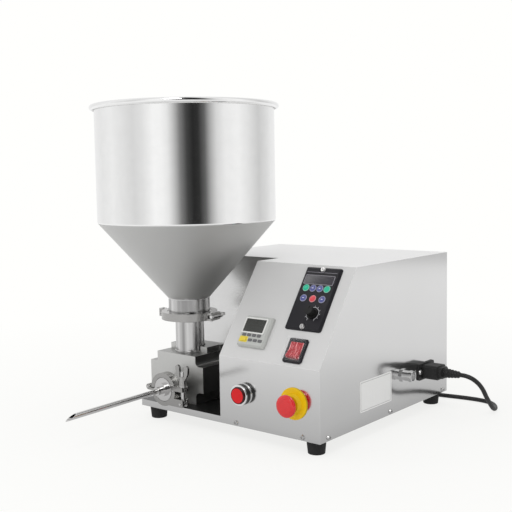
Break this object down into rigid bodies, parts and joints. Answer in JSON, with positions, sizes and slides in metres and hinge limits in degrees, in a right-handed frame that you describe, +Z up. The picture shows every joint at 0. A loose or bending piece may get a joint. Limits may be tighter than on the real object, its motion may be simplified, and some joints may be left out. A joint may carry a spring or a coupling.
{
  "type": "donut filling machine",
  "caption": "Bench-top filling machine: hopper over a gear pump with a clamped nozzle, stainless cabinet with sloping control panel.",
  "frame": {"origin": "middle of the machine's box on the plane its feet stand on, cord left out", "axes": "+Z up, the nozzle points along -Y, the control cabinet is on the +X side"},
  "size_m": [0.5317, 0.6975, 0.4889],
  "materials": {
    "stainless_pan": "satin",
    "stainless_cover": "fine brushed",
    "stainless_wall": "satin",
    "stainless_rear": "satin",
    "screw_steel": "bright",
    "foot_rubber": "matt",
    "block_steel": "satin machined",
    "cap_screw_steel": "dull",
    "bronze": "satin",
    "seal_rubber": "matt",
    "cast_alloy": "cast",
    "shaft_steel": "ground",
    "gear_steel": "ground",
    "coupling_steel": "oiled",
    "motor_paint": "semi gloss",
    "zinc_steel": "zinc plated",
    "capacitor_can": "plain",
    "polished_steel": "polished",
    "gasket_white": "matt",
    "hopper_steel": "satin, part mirror",
    "cast_clamp": "cast, tumbled",
    "wing_nut_steel": "cast, polished",
    "controller_black": "fine grain",
    "display_window": "gloss",
    "key_membrane": "gloss, three colours",
    "knob_black": "matt",
    "timer_grey": "fine grain",
    "lcd_dark": "gloss",
    "key_grey": "matt",
    "key_yellow": "semi gloss",
    "switch_black": "semi gloss",
    "switch_red": "gloss, lit",
    "clear_cover": "clear, soft",
    "button_chrome": "bright",
    "button_red": "gloss",
    "plate_yellow": "matt",
    "collar_yellow": "semi gloss",
    "stop_red": "semi gloss",
    "inlet_black": "matt",
    "cord_black": "semi matt"
  },
  "bodies": {
    "machine": {"base_pan": "stainless_pan", "housing_cover": "stainless_cover", "recess_panel": "stainless_wall", "rear_panel": "stainless_rear", "pan_screws": "screw_steel", "rubber_feet": "foot_rubber", "pump_body": "block_steel", "pump_rear_cover": "block_steel", "cap_screws": "cap_screw_steel", "shaft_bushes": "bronze", "shaft_seal": "seal_rubber", "pump_lantern": "cast_alloy", "gearhead": "cast_alloy", "motor": "motor_paint", "motor_bracket": "zinc_steel", "motor_capacitor": "capacitor_can", "inlet_pipe": "polished_steel", "hopper_gasket": "gasket_white", "hopper": "hopper_steel", "hopper_clamp_front_half": "cast_clamp", "hopper_clamp_bolt": "screw_steel", "clamp_pins": "screw_steel", "outlet_gasket": "gasket_white", "nozzle_clamp_lower_half": "cast_clamp", "nozzle_clamp_bolt": "screw_steel", "speed_controller": "controller_black", "controller_display": "display_window", "controller_keys": "key_membrane", "timer_case": "timer_grey", "timer_display": "lcd_dark", "timer_keypad": "key_grey", "rocker_frame": "switch_black", "rocker_cover": "clear_cover", "start_button_body": "button_chrome", "estop_plate": "plate_yellow", "estop_body": "collar_yellow", "pedal_socket": "button_chrome", "mains_inlet": "inlet_black", "mains_plug": "cord_black", "mains_cord": "cord_black", "cord_coil": "cord_black", "wall_plug": "cord_black"},
    "drive": {"drive_shaft": "shaft_steel", "drive_gear": "gear_steel", "shaft_coupling": "coupling_steel", "gearhead_shaft": "shaft_steel"},
    "idler": {"idler_gear": "gear_steel"},
    "hopper_clamp_rear": {"hopper_clamp_rear_half": "cast_clamp"},
    "hopper_washer": {"hopper_clamp_washer": "screw_steel"},
    "hopper_nut": {"hopper_clamp_nut": "screw_steel"},
    "nozzle": {"nozzle": "polished_steel"},
    "nozzle_clamp_upper": {"nozzle_clamp_upper_half": "cast_clamp"},
    "nozzle_washer": {"nozzle_clamp_washer": "screw_steel"},
    "wing_nut": {"nozzle_wing_nut": "wing_nut_steel"},
    "speed_knob": {"speed_knob": "knob_black"},
    "reset_key": {"timer_reset_key": "key_yellow"},
    "rocker": {"rocker": "switch_red"},
    "start_cap": {"start_button_cap": "button_red"},
    "stop_stem": {"estop_stem": "knob_black"},
    "stop_head": {"estop_head": "stop_red"}
  },
  "joints": [
    {"name": "drive_turn", "type": "hinge", "parent": "machine", "child": "drive", "pos_m": [-0.059, 0.0263, 0.0686], "axis": [0, 1, 0], "continuous": true},
    {"name": "idler_turn", "type": "hinge", "parent": "machine", "child": "idler", "pos_m": [-0.103, -0.0237, 0.0686], "axis": [0, 1, 0], "continuous": true},
    {"name": "hopper_clamp_open", "type": "hinge", "parent": "machine", "child": "hopper_clamp_rear", "pos_m": [-0.13249, -0.03444, 0.1624], "axis": [0, 0, 1], "range_deg": [0, 3.6]},
    {"name": "hopper_washer_travel", "type": "slide", "parent": "machine", "child": "hopper_washer", "axis": [-0.1392, 0.9903, 0], "range_m": [0, 0.00725]},
    {"name": "hopper_nut_turn", "type": "hinge", "parent": "hopper_washer", "child": "hopper_nut", "pos_m": [-0.03563, -0.00871, 0.1624], "axis": [-0.1392, 0.9903, 0], "continuous": true},
    {"name": "nozzle_turn", "type": "hinge", "parent": "machine", "child": "nozzle", "pos_m": [-0.077, -0.0872, 0.0549], "axis": [0, -1, 0], "continuous": true},
    {"name": "nozzle_clamp_open", "type": "hinge", "parent": "machine", "child": "nozzle_clamp_upper", "pos_m": [-0.1095, -0.0872, 0.0549], "axis": [0, -1, 0], "range_deg": [0, 5]},
    {"name": "nozzle_washer_travel", "type": "slide", "parent": "machine", "child": "nozzle_washer", "axis": [0, 0, 1], "range_m": [0, 0.00702]},
    {"name": "wing_nut_turn", "type": "hinge", "parent": "nozzle_washer", "child": "wing_nut", "pos_m": [-0.041, -0.0872, 0.0629], "axis": [0, 0, 1], "continuous": true},
    {"name": "speed_knob_turn", "type": "hinge", "parent": "machine", "child": "speed_knob", "pos_m": [0.1685, -0.04092, 0.18696], "axis": [0, 0.8178, -0.5754], "range_deg": [0, 300]},
    {"name": "reset_key_press", "type": "slide", "parent": "machine", "child": "reset_key", "axis": [0, 0.8178, -0.5754], "range_m": [0, 0.0008], "stiffness_N_per_m": 900},
    {"name": "rocker_tip", "type": "hinge", "parent": "machine", "child": "rocker", "pos_m": [0.161, -0.06854, 0.13727], "axis": [1, 0, 0], "range_deg": [0, 16]},
    {"name": "start_press", "type": "slide", "parent": "machine", "child": "start_cap", "axis": [0, 1, 0], "range_m": [0, 0.0035], "stiffness_N_per_m": 500},
    {"name": "stop_press", "type": "slide", "parent": "machine", "child": "stop_stem", "axis": [0, 1, 0], "range_m": [0, 0.004]},
    {"name": "stop_head_twist", "type": "hinge", "parent": "stop_stem", "child": "stop_head", "pos_m": [0.1665, -0.1007, 0.0689], "axis": [0, -1, 0], "range_deg": [0, 45]}
  ],
  "couplings": [
    {"joint": "idler_turn", "follows": "drive_turn", "ratio": -1},
    {"joint": "hopper_washer_travel", "follows": "hopper_clamp_open", "m_per_rad": 0.11067},
    {"joint": "nozzle_washer_travel", "follows": "nozzle_clamp_open", "m_per_rad": 0.07701}
  ]
}
